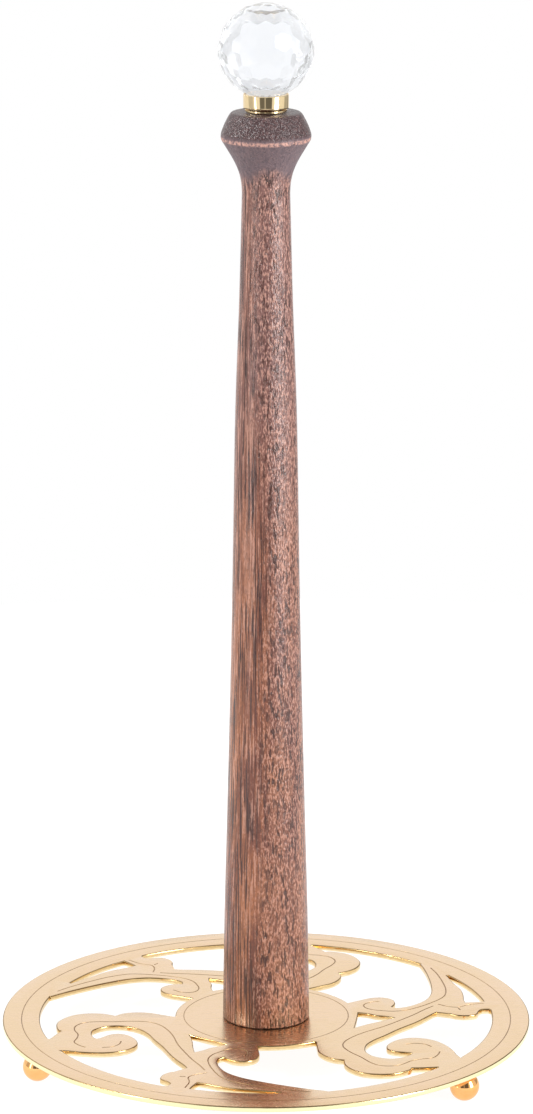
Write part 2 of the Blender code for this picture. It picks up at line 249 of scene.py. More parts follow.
def copy_of_node(node, name):
    """A welded copy of a CAD node's mesh."""
    piece = bpy.data.objects.new(name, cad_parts[node].data.copy())
    bpy.context.scene.collection.objects.link(piece)
    open_mesh(piece)
    bpy.ops.mesh.customdata_custom_splitnormals_clear()
    bpy.ops.mesh.remove_doubles(threshold=WELD)
    bpy.ops.mesh.dissolve_limited(angle_limit=math.radians(0.5))
    close_mesh()
    return piece


def turned_copy(piece, degrees):
    """A copy with its own mesh, turned about the post's axis."""
    only(piece)
    bpy.ops.object.duplicate(linked=False)
    copy = bpy.context.object
    copy.rotation_euler.z = math.radians(degrees)
    return settle(copy)


def joined(name, pieces):
    """The pieces as one object."""
    only(*pieces)
    bpy.ops.object.join()
    return added(name)


def smooth_line(stations, step):
    """Points about step apart on a centripetal Catmull-Rom curve through stations in millimetres."""
    points = [Vector(station) * MM for station in stations]
    ends = [2 * points[0] - points[1], *points, 2 * points[-1] - points[-2]]
    line = [points[0]]
    for p0, p1, p2, p3 in zip(ends, ends[1:], ends[2:], ends[3:]):
        k1 = math.sqrt((p1 - p0).length)
        k2 = k1 + math.sqrt((p2 - p1).length)
        k3 = k2 + math.sqrt((p3 - p2).length)
        count = max(1, round((p2 - p1).length / step))
        for i in range(1, count + 1):
            k = k1 + (k2 - k1) * i / count
            a1 = p0.lerp(p1, k / k1)
            a2 = p1.lerp(p2, (k - k1) / (k2 - k1))
            a3 = p2.lerp(p3, (k - k2) / (k3 - k2))
            b1 = a1.lerp(a2, k / k2)
            b2 = a2.lerp(a3, (k - k1) / (k3 - k1))
            line.append(b1.lerp(b2, (k - k1) / (k2 - k1)))
    return line


# ---------------------------------------------------------------- shader graphs

NOISE_ROUGHNESS = 0.55             # how strongly a noise's finer octaves show


class Value:
    """A number in a shader graph. Arithmetic on it adds Math nodes."""

    def __init__(self, graph, socket):
        self.graph = graph
        self.socket = socket

    def __add__(self, other):
        return self.graph.maths('ADD', self, other)

    def __radd__(self, other):
        return self.graph.maths('ADD', other, self)

    def __sub__(self, other):
        return self.graph.maths('SUBTRACT', self, other)

    def __rsub__(self, other):
        return self.graph.maths('SUBTRACT', other, self)

    def __mul__(self, other):
        return self.graph.maths('MULTIPLY', self, other)

    def __rmul__(self, other):
        return self.graph.maths('MULTIPLY', other, self)

    def __abs__(self):
        return self.graph.maths('ABSOLUTE', self)

    def __pow__(self, other):
        return self.graph.maths('POWER', self, other)


class Graph:
    """The nodes of one material, or of the world."""

    def __init__(self, tree):
        self.tree = tree

    def node(self, kind, settings=None, sockets=None):
        """Adds a node: its settings, then a value or a link for each of its sockets."""
        made = self.tree.nodes.new(kind)
        for name, value in (settings or {}).items():
            if name == 'stops':
                set_stops(made.color_ramp.elements, value)
            else:
                setattr(made, name, value)
        for name, value in (sockets or {}).items():
            self.feed(made.inputs[name], value)
        return made

    def feed(self, socket, value):
        """Links a socket to a Value or to another socket, or sets it to a plain value."""
        source = getattr(value, 'socket', value)
        if isinstance(source, bpy.types.NodeSocket):
            self.tree.links.new(source, socket)
        else:
            socket.default_value = source

    def maths(self, operation, *operands):
        """A Math node's result, from Values and plain numbers."""
        node = self.node('ShaderNodeMath', {'operation': operation}, dict(enumerate(operands)))
        return Value(self, node.outputs[0])

    def coordinates(self, kind='Object'):
        """The place that a pattern is read at, as a vector socket."""
        return self.node('ShaderNodeTexCoord').outputs[kind]

    def parts(self, vector):
        """The X, Y and Z values of a vector socket."""
        node = self.node('ShaderNodeSeparateXYZ', sockets={0: vector})
        return [Value(self, node.outputs[axis]) for axis in 'XYZ']

    def noise(self, per_metre, detail=3.0, shift=(0.0, 0.0, 0.0), distortion=0.0):
        """Noise from 0 to 1 whose grain along X, Y and Z is set by per_metre."""
        mapping = self.node('ShaderNodeMapping', sockets={
            'Vector': self.coordinates(), 'Location': shift, 'Scale': per_metre})
        noise = self.node('ShaderNodeTexNoise', sockets={
            'Vector': mapping.outputs[0], 'Scale': 1.0, 'Detail': detail,
            'Roughness': NOISE_ROUGHNESS, 'Distortion': distortion})
        return Value(self, noise.outputs['Fac'])

    def rise(self, value, low, high, top=1.0):
        """Goes smoothly from 0 to top while value goes from low to high."""
        node = self.node('ShaderNodeMapRange', {'interpolation_type': 'SMOOTHSTEP'}, {
            'Value': value, 'From Min': low, 'From Max': high, 'To Min': 0.0, 'To Max': top})
        return Value(self, node.outputs['Result'])

    def ramp(self, value, stops):
        """The colour that a value has on a ramp of (position, colour) stops."""
        return self.node('ShaderNodeValToRGB', {'stops': stops}, {'Fac': value}).outputs['Color']

    def mix(self, share, colour_a, colour_b):
        """Colour a with the given share of colour b."""
        node = self.node('ShaderNodeMix', {'data_type': 'RGBA'}, {
            0: share, 6: opaque(colour_a), 7: opaque(colour_b)})
        return node.outputs[2]

    def bump(self, height, strength, distance):
        """A normal that makes the surface look raised where height is 1, by up to distance."""
        node = self.node('ShaderNodeBump', sockets={
            'Height': height, 'Strength': strength, 'Distance': distance})
        return node.outputs['Normal']


def opaque(colour):
    """An RGB colour with its alpha; a socket is passed on as it is."""
    return (*colour, 1.0) if isinstance(colour, tuple) else colour


def set_stops(elements, stops):
    """Fills a colour ramp from (position, colour) pairs."""
    while len(elements) < len(stops):
        elements.new(1.0)
    for element, (position, colour) in zip(elements, stops):
        element.position = position
        element.color = opaque(colour)


class Finish(Graph):
    """A material with one Principled shader."""

    def __init__(self, name, **uniform):
        self.material = bpy.data.materials.new(name)
        self.material.use_nodes = True
        super().__init__(self.material.node_tree)
        self.shader = self.tree.nodes['Principled BSDF']
        for socket, value in uniform.items():
            self.set(socket, value)

    def set(self, socket, value):
        """Sets or links one of the shader's sockets, named with _ for its spaces."""
        self.feed(self.shader.inputs[socket.replace('_', ' ')], value)


# ---------------------------------------------------------------- finishes

def metal(name, light, dark, roughness, grain):
    """A metal whose colour drifts from light to dark in soft clouds, with a fine uneven polish."""
    finish = Finish(name, Metallic=1.0)
    clouds = finish.noise((35.0, 35.0, 35.0), detail=4.0)
    specks = finish.noise((700.0, 700.0, 700.0), detail=2.0, shift=(0.3, 0.1, 0.7))
    drift = finish.rise(clouds * 0.7 + specks * 0.3, 0.38, 0.62)
    low, high = roughness
    finish.set('Base_Color', finish.mix(drift, light, dark))
    finish.set('Roughness', low + (high - low) * specks)
    finish.set('Normal', finish.bump(specks, grain, 0.05 * MM))
    return finish.material


def sheet_brass():
    """The plate's broad faces: pale pink gold, lightly brushed and lacquered."""
    finish = Finish("sheet_brass", Metallic=1.0)
    clouds = finish.noise((28.0, 28.0, 28.0), detail=4.0)
    mottle = finish.noise((420.0, 420.0, 420.0), shift=(0.2, 0.5, 0.1))
    brushing = finish.noise((90.0, 2600.0, 90.0), detail=2.0)
    warmth = finish.rise(clouds * 0.6 + mottle * 0.4, 0.40, 0.60)
    tone = finish.mix(warmth, (0.890, 0.650, 0.430), (0.870, 0.640, 0.395))
    scuffs = finish.rise(brushing, 0.54, 0.72)
    finish.set('Base_Color', finish.mix(scuffs * 0.14, tone, (0.74, 0.50, 0.27)))
    finish.set('Roughness', 0.19 + mottle * 0.12 + scuffs * 0.05)
    relief = mottle * 0.7 + brushing * 0.3
    finish.set('Normal', finish.bump(relief, 0.12, 0.02 * MM))
    return finish.material


def cut_brass():
    """The walls of the scroll work: polished, painted a deeper gold as reflection colour, with a
    painted pale glow along their foot and a painted pale reflection on the rim.
    """
    finish = Finish("cut_brass", Metallic=1.0)
    x, y, z = finish.parts(finish.coordinates())
    radius = (x * x + y * y) ** 0.5
    # Painted pale reflection on the rim's outer wall
    rim_reflection = finish.rise(radius, PLATE_RADIUS - 2.0 * MM, PLATE_RADIUS - 1.0 * MM)
    grain = finish.noise((500.0, 500.0, 500.0))
    # Painted pale glow from the floor along the foot of the walls; above it the deeper gold, painted
    # as reflection colour
    low = PLATE_BOTTOM + 0.35 * MM + (grain - 0.5) * MM
    raised = finish.rise(z - low, 0.0, 0.4 * MM)
    inner = finish.mix(raised, (0.92, 0.75, 0.47), (0.74, 0.53, 0.26))
    finish.set('Base_Color', finish.mix(rim_reflection, inner, (0.93, 0.84, 0.50)))
    finish.set('Roughness', 0.10 + grain * 0.10)
    finish.set('Normal', finish.bump(grain, 0.08, 0.02 * MM))
    return finish.material


def edge_dark_reflection_brass():
    """The rolled upper edge, with a fine brown line painted on it as a dark reflection."""
    return metal("edge_dark_reflection_brass", (0.42, 0.27, 0.12), (0.25, 0.15, 0.06), (0.22, 0.38), 0.10)


def groove_polish_and_shade_brass():
    """Engraved lines, darkened by old polish in them and by painted shade."""
    return metal("groove_polish_and_shade_brass", (0.50, 0.32, 0.16), (0.32, 0.18, 0.08), (0.25, 0.40), 0.15)


def pale_gold():
    """The ferrule's plating."""
    return metal("pale_gold", (0.88, 0.70, 0.42), (0.84, 0.64, 0.35), (0.03, 0.07), 0.02)


def warm_gold():
    """The feet's plating."""
    return metal("warm_gold", (0.93, 0.52, 0.21), (0.90, 0.47, 0.17), (0.03, 0.08), 0.02)


def zinc_steel():
    """The plating of the screw, its washers and the stud."""
    return metal("zinc_steel", (0.66, 0.67, 0.69), (0.50, 0.51, 0.54), (0.22, 0.38), 0.15)


def insert_brass():
    """The inserts' bare, slightly dull brass."""
    return metal("insert_brass", (0.80, 0.62, 0.30), (0.62, 0.45, 0.18), (0.20, 0.34), 0.15)


def lacquered_wood():
    """Reddish hardwood: long straight grain on one side, short open pores on the other.

    side is 0 on the left and 1 on the right; each layer is laid over the one before it."""
    finish = Finish("lacquered_wood", IOR=1.5, Specular_IOR_Level=0.50)
    x, _, z = finish.parts(finish.coordinates())
    height = z - PLATE_TOP
    wander = (finish.noise((30.0, 30.0, 8.0)) - 0.5) * (14.0 * MM)
    side = finish.rise(x + wander, -6.0 * MM, 1.0 * MM)

    # Broad bands and patches of red and brown
    bands = finish.noise((75.0, 75.0, 12.0), detail=2.0)
    patches = finish.noise((120.0, 120.0, 30.0), shift=(0.1, 0.4, 0.3))
    streaks = finish.noise((1000.0, 1000.0, 26.0), shift=(0.4, 0.0, 0.2), distortion=0.4)
    tone = 0.03 + bands * 0.38 + patches * 0.42 + streaks * 0.14
    colour = finish.ramp(tone, [
        (0.38, (0.062, 0.018, 0.012)), (0.45, (0.140, 0.043, 0.024)),
        (0.51, (0.225, 0.078, 0.035)), (0.60, (0.290, 0.110, 0.050))])
    # Painted grey sheen up the taper, and painted shade on the right side that is partly the wood's
    # own darker tone
    taper_sheen_and_side_shade = finish.rise(height, *TAPER_SHEEN, top=0.62) + side * 0.28
    colour = finish.mix(taper_sheen_and_side_shade, colour, (0.160, 0.084, 0.076))

    # Pale and dark fibres: short flecks on the right, long ones on the left; the pale ones are
    # partly painted glints
    flecks = finish.noise((2200.0, 2200.0, 800.0), detail=1.0, shift=(0.0, 0.6, 0.0))
    long_fibres = finish.noise((1700.0, 1700.0, 45.0), detail=1.0, shift=(0.0, 0.2, 0.5))
    fibres_and_glints = flecks * (0.25 + side * 0.75) + long_fibres * (1.0 - side) * 0.75
    # Pale flecks: partly the wood's pale fibres, partly painted glints
    colour = finish.mix(finish.rise(fibres_and_glints, 0.52, 0.60) * 0.46, colour, (0.500, 0.270, 0.200))
    colour = finish.mix(finish.rise(fibres_and_glints, 0.48, 0.40) * 0.52, colour, (0.060, 0.019, 0.013))

    # Open pores, filled with dark polish
    lines = finish.noise((1600.0, 1600.0, 28.0), detail=1.0)
    dashes = finish.noise((1300.0, 1300.0, 260.0), detail=1.0, shift=(0.7, 0.2, 0.0))
    long_pores = finish.rise(lines, 0.56, 0.60)
    short_pores = finish.rise(dashes, 0.56, 0.60)
    clumps = finish.rise(finish.noise((160.0, 160.0, 40.0), shift=(0.5, 0.5, 0.0)), 0.38, 0.55)
    pores = long_pores * (1.0 - side) + short_pores * (0.3 + side * 0.7) * (0.5 + clumps * 0.5)
    colour = finish.mix(pores * 0.90, colour, (0.036, 0.012, 0.009))

    # Painted grey sheen under the collar, a painted highlight round its ridge, and painted shade
    # with painted glints on its gritty top
    ragged = height + (finish.noise((90.0, 90.0, 60.0)) - 0.5) * (22.0 * MM)
    # Painted grey sheen under the collar
    collar_sheen = finish.rise(ragged, *COLLAR_SHEEN)
    colour = finish.mix(collar_sheen * 0.85, colour, (0.092, 0.064, 0.076))
    grit_and_glints = finish.noise((1200.0, 1200.0, 1200.0), detail=2.0, shift=(0.3, 0.0, 0.4))
    # Painted pale highlight round the collar's ridge, speckled
    ridge_highlight = 1.0 - finish.rise(abs(height - COLLAR_EDGE), 0.2 * MM, 1.0 * MM)
    colour = finish.mix(ridge_highlight * finish.rise(grit_and_glints, 0.36, 0.60) * 0.8, colour, (0.52, 0.28, 0.22))
    cap = finish.rise(height, *CAP)
    # Painted shade on the collar's top, where it faces the dark ceiling
    colour = finish.mix(cap * 0.88, colour, (0.034, 0.014, 0.014))
    # Painted glints on the collar's top
    colour = finish.mix(cap * finish.rise(grit_and_glints, 0.50, 0.60) * 0.14, colour, (0.32, 0.18, 0.17))

    finish.set('Base_Color', colour)
    finish.set('Roughness', 0.16 + fibres_and_glints * 0.14 + collar_sheen * (1.0 - cap) * 0.26)
    relief = fibres_and_glints * 0.8 - pores * 0.8 + cap * grit_and_glints * 2.2
    finish.set('Normal', finish.bump(relief, 1.0, 0.30 * MM))
    return finish.material


def cut_crystal():
    """Clear glass with the faintest blue, and a trace of dust in its polish."""
    finish = Finish("cut_crystal", Transmission_Weight=1.0, IOR=1.48, Alpha=0.65)
    haze = finish.rise(finish.noise((240.0, 240.0, 240.0)), 0.45, 0.75)
    finish.set('Base_Color', finish.mix(haze, (0.930, 0.957, 1.0), (0.895, 0.930, 1.0)))
    finish.set('Roughness', haze * 0.02)
    return finish.material


def floor_white():
    """A pale, softly glowing table that keeps only a hint of shadow."""
    finish = Finish("floor_white", Roughness=0.9, Emission_Color=(1.0, 1.0, 1.0, 1.0),
                    Emission_Strength=0.88)
    grain = finish.noise((40.0, 40.0, 40.0))
    finish.set('Base_Color', finish.mix(grain, (0.15, 0.15, 0.15), (0.17, 0.17, 0.17)))
    return finish.material


# ---------------------------------------------------------------- base

def engraved_lines():
    """The lines of one repeat of the scroll work, as (X, Y) stations in millimetres."""
    arm = [(56.8, 9.6), (53.6, 5.7), (50.0, 0.7), (46.4, -3.6), (40.0, -10.7), (32.9, -17.1),
           (28.6, -22.1), (26.1, -26.6), (25.6, -31.0), (27.9, -36.4), (31.4, -41.4),
           (34.3, -46.4), (37.1, -49.3), (41.4, -50.0), (45.0, -48.2), (47.9, -45.0),
           (51.4, -43.2), (55.0, -42.1), (56.8, -39.3), (57.6, -36.0)]
    big_curl = [(46.6, -28.9), (49.3, -27.9), (52.9, -28.8), (55.0, -31.2)]
    branch = [(38.6, 14.4), (35.4, 13.3), (33.4, 11.2), (33.3, 8.8), (34.6, 6.8), (36.8, 5.5),
              (39.3, 4.8), (42.5, 4.2), (46.8, 5.0), (51.5, 8.2), (55.7, 12.3), (59.0, 16.3),
              (61.0, 20.0), (61.7, 26.0), (61.0, 33.5), (59.0, 44.0), (57.2, 49.6)]
    leaf = [(58.5, 11.5), (61.4, 9.3), (65.0, 8.3), (69.0, 11.0), (74.3, 12.5)]
    spur = [(65.3, 7.3), (66.0, 5.5)]
    return [arm, big_curl, branch, leaf, spur]


def groove_height(width):
    """How high a rod lies so that it cuts a groove of this width into the plate's top."""
    return PLATE_TOP + math.sqrt(GROOVE_TOOL_RADIUS ** 2 - (width / 2) ** 2)


def engraving_tool(material):
    """Rods along every engraved line, sunk into the plate's top as far as the lines are deep."""
    height = groove_height(GROOVE_WIDTH)
    rods = []
    for stations in engraved_lines():
        points = [(p.x, p.y, height) for p in smooth_line(stations, GROOVE_STEP)]
        rod = draw_line("engraved_line", points)
        bpy.ops.object.convert(target='CURVE')
        rod.data.bevel_depth = GROOVE_TOOL_RADIUS
        rod.data.bevel_resolution = 2
        rod.data.use_fill_caps = True
        bpy.ops.object.convert(target='MESH')
        rods.append(weld(bpy.context.object))
    for rod in list(rods):
        for repeat in range(1, SCROLL_REPEATS):
            rods.append(turned_copy(rod, 360.0 / SCROLL_REPEATS * repeat))
    for radius in (HUB_GROOVE_RADIUS, RIM_GROOVE_RADIUS):
        bpy.ops.object.select_all(action='DESELECT')
        bpy.ops.mesh.primitive_torus_add(
            major_radius=radius, minor_radius=GROOVE_TOOL_RADIUS, major_segments=192,
            minor_segments=12, location=(0.0, 0.0, groove_height(RING_GROOVE_WIDTH)))
        rods.append(settle(added("engraved_ring")))
    tool = joined("engraving_tool", rods)
    paint(tool, material)
    return tool


def roll_edges(plate):
    """Rounds the plate's upper edges, and the lower edge of its rim."""
    places = [vertex.co for vertex in plate.data.vertices]
    wall_edges = {key for face in plate.data.polygons if abs(face.normal.z) < WALL_STEEPNESS
                  for key in face.edge_keys}

    def rolled(edge):
        start, end = [places[i] for i in edge.vertices]
        level = abs(start.z - end.z) < WELD
        at_top = start.z > PLATE_TOP - WELD
        at_rim = min(start.xy.length, end.xy.length) > PLATE_RADIUS - RIM_MARGIN
        return edge.key in wall_edges and level and (at_top or at_rim)

    pick_edges(plate, rolled)
    bpy.ops.mesh.bevel(offset=EDGE_ROUNDING, segments=3, affect='EDGES', clamp_overlap=False,
                       loop_slide=False)
    close_mesh()


def make_scroll_plate(face, wall, edge, groove):
    """The pierced plate with rolled edges, engraved, each kind of face in its own brass, with a
    painted dark reflection line on the rolled edges.
    """
    plate = copy_of_node("base_plate", "scroll_plate")
    roll_edges(plate)
    finishes = [face, wall, edge]
    paint(plate, *finishes)
    # The walls take the brass with its painted reflection colour, glow and rim reflection
    paint_faces(plate, finishes.index(wall), lambda normal: abs(normal.z) < WALL_STEEPNESS)
    # The bevel's sloping faces take the painted dark reflection line
    paint_faces(plate, finishes.index(edge),
                lambda normal: WALL_STEEPNESS < normal.z < FACE_FLATNESS)
    boolean(plate, engraving_tool(groove), material_mode='TRANSFER')
    return shade(plate)


def make_foot(node, gold):
    """A ball with a small flat below and a fillet of solder up to the plate."""
    low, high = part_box(node)
    radius = (high.x - low.x) / 2
    middle = (low + high) / 2
    centre = 4.65 * MM
    neck = 2.2 * MM
    lowest = math.acos(centre / radius)
    highest = math.pi - math.asin(neck / radius)
    rows = 28
    profile = [(0.0, 0.0)]
    for i in range(rows + 1):
        angle = lowest + (highest - lowest) * i / rows
        profile.append((radius * math.sin(angle), max(0.0, centre - radius * math.cos(angle))))
    under = PLATE_BOTTOM - 0.05 * MM
    profile += [(2.25 * MM, under - 0.32 * MM), (2.6 * MM, under - 0.12 * MM), (3.1 * MM, under),
                (1.7 * MM, under), (1.7 * MM, high.z), (0.0, high.z)]
    foot = turn(node + "_ball", profile, sides=64)
    foot.location = (middle.x, middle.y, 0.0)
    paint(foot, gold)
    return shade(settle(foot))


# ---------------------------------------------------------------- threads

def thread_tool(radius, low, high):
    """A right-hand thread's whole body from below low to above high, open at neither end.

    Every thread starts a whole number of pitches above z = 0, so that mating threads mesh."""
    minor = radius - THREAD_DEPTH
    start = (math.floor(low / PITCH) - 2) * PITCH
    turns = math.ceil((high - low) / PITCH) + 5
    flat = PITCH / 8
    flank = (PITCH - 2 * flat) / 2
    points = [(minor, 0.0, start), (minor, 0.0, start + flat), (radius, 0.0, start + flat + flank),
              (radius, 0.0, start + 2 * flat + flank), (minor, 0.0, start + PITCH)]
    tool = draw_line("thread_tool", points)
    modify(tool, 'SCREW', axis='Z', angle=FULL_TURN, screw_offset=PITCH, iterations=turns,
           steps=THREAD_SIDES, render_steps=THREAD_SIDES, use_merge_vertices=True,
           merge_threshold=WELD)
    weld(tool)
    for extreme in (min, max):     # closes the open loop at the lower end, then at the upper
        level = extreme(vertex.co.z for vertex in tool.data.vertices)
        open_mesh(tool, 'DESELECT')
        bpy.ops.mesh.select_non_manifold()
        close_mesh()
        for vertex in tool.data.vertices:
            vertex.select = vertex.select and abs(vertex.co.z - level) < 1.5 * PITCH
        for edge in tool.data.edges:
            edge.select = all(tool.data.vertices[i].select for i in edge.vertices)
        bpy.ops.object.mode_set(mode='EDIT')
        bpy.ops.mesh.edge_face_add()
        close_mesh()
    return weld(tool)


def threaded_pin(name, low, high):
    """A length of M6 thread with chamfered ends."""
    outside = THREAD_RADIUS * 1.02      # clear of the thread's crests
    tip = THREAD_RADIUS - THREAD_CHAMFER
    envelope = turn(name, [(0.0, low), (tip, low), (outside, low + THREAD_CHAMFER),
                           (outside, high - THREAD_CHAMFER), (tip, high), (0.0, high)])
    return boolean(envelope, thread_tool(THREAD_RADIUS, low, high), 'INTERSECT')


def make_base_screw(steel):
    """A button head with a hexagon socket, a short plain neck, and M6 thread above."""
    head_radius = 5.5 * MM
    flat_share = 0.52                   # how much of the head's radius is flat at its end
    dome_height = 2.8 * MM
    socket_radius = 2.2 * MM
    socket_depth = 2.0 * MM
    shoulder = SCREW_BOTTOM + 3.5 * MM
    edge = 0.2 * MM
    neck_radius = THREAD_RADIUS - THREAD_DEPTH
    neck_top = shoulder + 5.0 * MM
    thread_start = shoulder + 2.0 * MM
    profile = [(0.0, SCREW_BOTTOM)]
    dome_rows = 10
    for i in range(dome_rows + 1):
        angle = math.radians(90.0) * i / dome_rows
        radius = head_radius * (flat_share + (1.0 - flat_share) * math.sin(angle))
        profile.append((radius, SCREW_BOTTOM + dome_height * (1.0 - math.cos(angle))))
    profile += [(head_radius, shoulder - edge), (head_radius - edge, shoulder),
                (neck_radius, shoulder), (neck_radius, neck_top), (0.0, neck_top)]
    screw = turn("base_screw_threaded", profile)
    bpy.ops.object.select_all(action='DESELECT')
    bpy.ops.mesh.primitive_cylinder_add(vertices=6, radius=socket_radius, depth=2 * socket_depth,
                                        location=(0.0, 0.0, SCREW_BOTTOM))
    boolean(screw, settle(added("hexagon_socket")))
    boolean(screw, threaded_pin("screw_thread", thread_start, SCREW_TOP), 'UNION')
    paint(screw, steel)
    return shade(screw)


def make_stud(steel):
    """The finial's stud, threaded over its whole length."""
    stud = threaded_pin("finial_stud_threaded", STUD_BOTTOM, STUD_TOP)
    paint(stud, steel)
    return shade(stud)


def make_insert(node, name, flange_up, brass):
    """A knurled brass insert with a flange and an M6 bore."""
    low, high = (corner.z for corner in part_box(node))
    face, end, inward = (high, low, -1.0) if flange_up else (low, high, 1.0)
    flange_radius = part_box(node)[1].x
    flange = face + inward * INSERT_FLANGE_THICKNESS
    edge = 0.2 * MM
    knurl_start = flange + inward * 0.6 * MM
    knurl_end = end - inward * 1.2 * MM
    waist = INSERT_RADIUS - KNURL_DEPTH
    groove_share = 0.94                 # a knurl groove's radius, as a share of a crest's
    bore = THREAD_RADIUS - THREAD_DEPTH + THREAD_PLAY
    profile = [(bore, face), (flange_radius - edge, face), (flange_radius, face + inward * edge),
               (flange_radius, flange), (waist, flange), (waist, knurl_start),
               (INSERT_RADIUS, knurl_start), (INSERT_RADIUS, knurl_end), (waist, knurl_end),
               (waist, end), (bore, end)]
    insert = turn(name, ring(profile), sides=THREAD_SIDES * 2)
    side_angle = FULL_TURN / (THREAD_SIDES * 2)

    def in_a_knurl_groove(place):
        on_crest = abs(place.xy.length - INSERT_RADIUS) < 0.05 * MM
        return on_crest and round(math.atan2(place.y, place.x) / side_angle) % 2 == 1

    pick_vertices(insert, in_a_knurl_groove)
    bpy.ops.transform.resize(value=(groove_share, groove_share, 1.0),
                             center_override=(0.0, 0.0, 0.0))
    close_mesh()
    boolean(insert, thread_tool(THREAD_RADIUS + THREAD_PLAY, low, high))
    paint(insert, brass)
    return shade(insert)


# ---------------------------------------------------------------- washers

def washer_profile(node, rounding):
    """The section of a washer for an M6 screw, with its outer edges broken."""
    low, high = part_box(node)
    inner, outer, bottom, top = THREAD_RADIUS + HOLE_PLAY, high.x, low.z, high.z
    return ring([(inner, bottom), (outer - rounding, bottom), (outer, bottom + rounding),
                 (outer, top - rounding), (outer - rounding, top), (inner, top)])


def make_washer(node, name, material):
    """A plain flat washer."""
    washer = turn(name, washer_profile(node, 0.15 * MM))
    paint(washer, material)
    return shade(washer)


def make_lock_washer(steel):
    """A spring washer, cut through on a slant at the back."""
    slant = math.radians(20.0)
    gap = 0.8 * MM
    washer = turn("base_lock_washer_split", washer_profile("base_lock_washer", 0.12 * MM))
    low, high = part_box("base_lock_washer")
    bpy.ops.object.select_all(action='DESELECT')
    bpy.ops.mesh.primitive_cube_add(size=1.0, location=(0.0, high.y, (low.z + high.z) / 2),
                                    rotation=(0.0, slant, 0.0),
                                    scale=(gap, 1.2 * high.y, 6.0 * MM))
    boolean(washer, settle(added("washer_split")))
    paint(washer, steel)
    return shade(washer)


# ---------------------------------------------------------------- post

def post_side():
    """The post's outer side, foot to top: a long taper, a cove and a bevelled collar."""
    taper = smooth_line([(14.6, 0.3), (14.0, 36.5), (12.95, 74.4), (11.25, 145.0), (10.1, 210.0),
                         (8.8, 246.0), (7.85, 282.0)], 8.0 * MM)
    cove = smooth_line([(7.85, 282.0), (8.05, 285.0), (8.6, 288.0), (9.6, 290.8), (11.0, 293.6),
                        (12.5, 296.1), (13.9, 298.4)], 0.9 * MM)
    bead = smooth_line([(13.9, 298.4), (14.5, 299.4), (14.72, 300.6), (14.5, 301.9), (13.6, 304.3),
                        (12.5, 306.5), (11.8, 307.7), (11.2, 308.25), (10.5, 308.4)], 0.5 * MM)
    side = [*taper, *cove[1:], *bead[1:]]
    return [(point.x, PLATE_TOP + point.y) for point in side]


def make_post(wood):
    """The turned post, bored at both ends for the inserts and their flanges."""
    bore = INSERT_RADIUS + HOLE_PLAY
    recess = 6.3 * MM
    shoulder = 1.6 * MM
    foot_bevel = 0.25 * MM
    bevel_height = 0.35 * MM
    lower_end = POST_BOTTOM + 23.0 * MM
    upper_end = POST_TOP - 19.0 * MM
    profile = [(0.0, lower_end), (bore, lower_end), (bore, POST_BOTTOM + shoulder),
               (recess, POST_BOTTOM + shoulder), (recess, POST_BOTTOM)]
    (foot_radius, foot), *side = post_side()
    profile += [(foot_radius - foot_bevel, foot), (foot_radius, foot + bevel_height), *side]
    profile += [(recess, POST_TOP), (recess, POST_TOP - shoulder), (bore, POST_TOP - shoulder),
                (bore, upper_end), (0.0, upper_end)]
    post = turn("post_turned_wood", profile, POST_SIDES)
    paint(post, wood)
    return shade(post, 40.0)


# ---------------------------------------------------------------- finial

def make_ferrule(gold):
    """A short cup with a rolled lip, dished under the ball and bored from below."""
    ball_low, ball_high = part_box("crystal_ball")
    ball_centre = (ball_low.z + ball_high.z) / 2
    dish = BALL_RADIUS + BALL_SEAT_GAP
    bore = THREAD_RADIUS + HOLE_PLAY
    bore_top = STUD_TOP + HOLE_PLAY
    edge = 0.15 * MM
    lip = 0.22 * MM
    lip_middle = FERRULE_TOP - lip
    lip_rows = 7
    profile = [(0.0, bore_top), (bore, bore_top), (bore, FERRULE_BOTTOM),
               (FERRULE_RADIUS - edge, FERRULE_BOTTOM),
               (FERRULE_RADIUS - 0.3 * edge, FERRULE_BOTTOM + 0.3 * edge),
               (FERRULE_RADIUS, FERRULE_BOTTOM + edge), (FERRULE_RADIUS, lip_middle - lip)]
    for i in range(1, lip_rows):
        angle = math.pi * i / lip_rows
        profile.append((FERRULE_RADIUS - lip + lip * math.cos(angle),
                        lip_middle + lip * math.sin(angle)))
    profile.append((FERRULE_RADIUS - 2 * lip, lip_middle - lip))
    for radius in (6.6 * MM, *(i * MM for i in range(6, -1, -1))):
        profile.append((radius, ball_centre - math.sqrt(dish ** 2 - radius ** 2)))
    ferrule = turn("finial_ferrule_cup", profile)
    paint(ferrule, gold)
    return shade(ferrule)


def make_crystal_ball(crystal):
    """The ball with its cut facets, each flat to the eye."""
    ball = copy_of_node("crystal_ball", "crystal_ball_cut")
    paint(ball, crystal)
    only(ball)
    bpy.ops.object.shade_flat()
    return ball


# ---------------------------------------------------------------- studio

